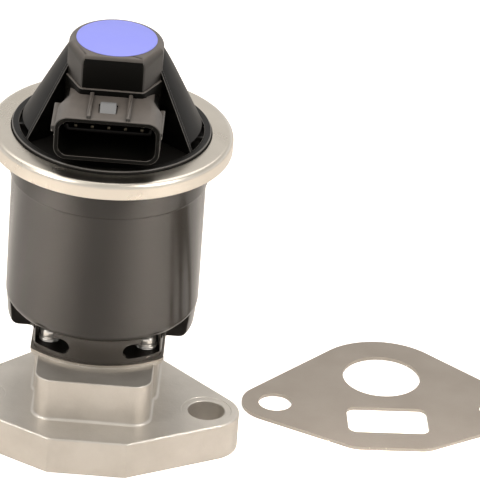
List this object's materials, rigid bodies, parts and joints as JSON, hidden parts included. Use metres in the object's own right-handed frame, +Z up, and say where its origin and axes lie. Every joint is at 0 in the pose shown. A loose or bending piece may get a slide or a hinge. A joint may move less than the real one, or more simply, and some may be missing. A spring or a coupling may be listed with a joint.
{
  "type": "egr valve",
  "caption": "Solenoid exhaust gas recirculation valve with a black can, clinch ring, sensor cap with a pin socket and a two-bolt flange, and its loose flange gasket.",
  "frame": {"origin": "on the valve stem's axis, in the plane of the flange face that bolts to the engine, at the round inlet port", "axes": "+Z up the stem, -Y the side that the electrical socket faces, +X to the right seen from the socket's side"},
  "size_m": [0.1557, 0.0812, 0.1101],
  "materials": {
    "cast_metal": "satin",
    "black_coat": "gloss",
    "stainless": "satin",
    "steel": "satin",
    "screw_steel": "polished",
    "black_plastic": "satin",
    "bobbin_plastic": "satin",
    "copper_wire": "enamelled",
    "pin_metal": "satin",
    "bronze": "satin",
    "gasket_metal": "matt",
    "seal_rubber": "matt",
    "label_film": "satin",
    "board": "satin"
  },
  "bodies": {
    "valve": {"valve_body": "cast_metal", "body_gasket": "gasket_metal", "housing_can": "black_coat", "can_screws": "screw_steel", "crimp_ring": "stainless", "sensor_cap": "black_plastic", "terminal_pins": "pin_metal", "label_disc": "label_film", "mounting_gasket": "gasket_metal", "valve_seat": "steel", "stem_bush": "bronze", "lower_stator": "steel", "upper_stator": "steel", "armature_sleeve": "stainless", "coil_bobbin": "bobbin_plastic", "coil_winding": "copper_wire", "return_spring": "steel", "cap_seal": "seal_rubber", "sensor_spring": "steel", "sensor_board": "board"},
    "pintle_body": {"pintle": "stainless", "armature": "steel", "armature_nut": "steel"},
    "sensor_body": {"sensor_plunger": "bobbin_plastic", "sensor_wiper": "bronze"}
  },
  "joints": [
    {"name": "pintle_slide", "type": "slide", "parent": "valve", "child": "pintle_body", "axis": [0, 0, -1], "range_m": [0, 0.004], "stiffness_N_per_m": 2000, "springref_m": -0.004, "deforming": ["return_spring"]},
    {"name": "sensor_slide", "type": "slide", "parent": "valve", "child": "sensor_body", "axis": [0, 0, -1], "range_m": [0, 0.004], "deforming": ["sensor_spring"]}
  ],
  "couplings": [
    {"joint": "sensor_slide", "follows": "pintle_slide", "ratio": 1}
  ]
}
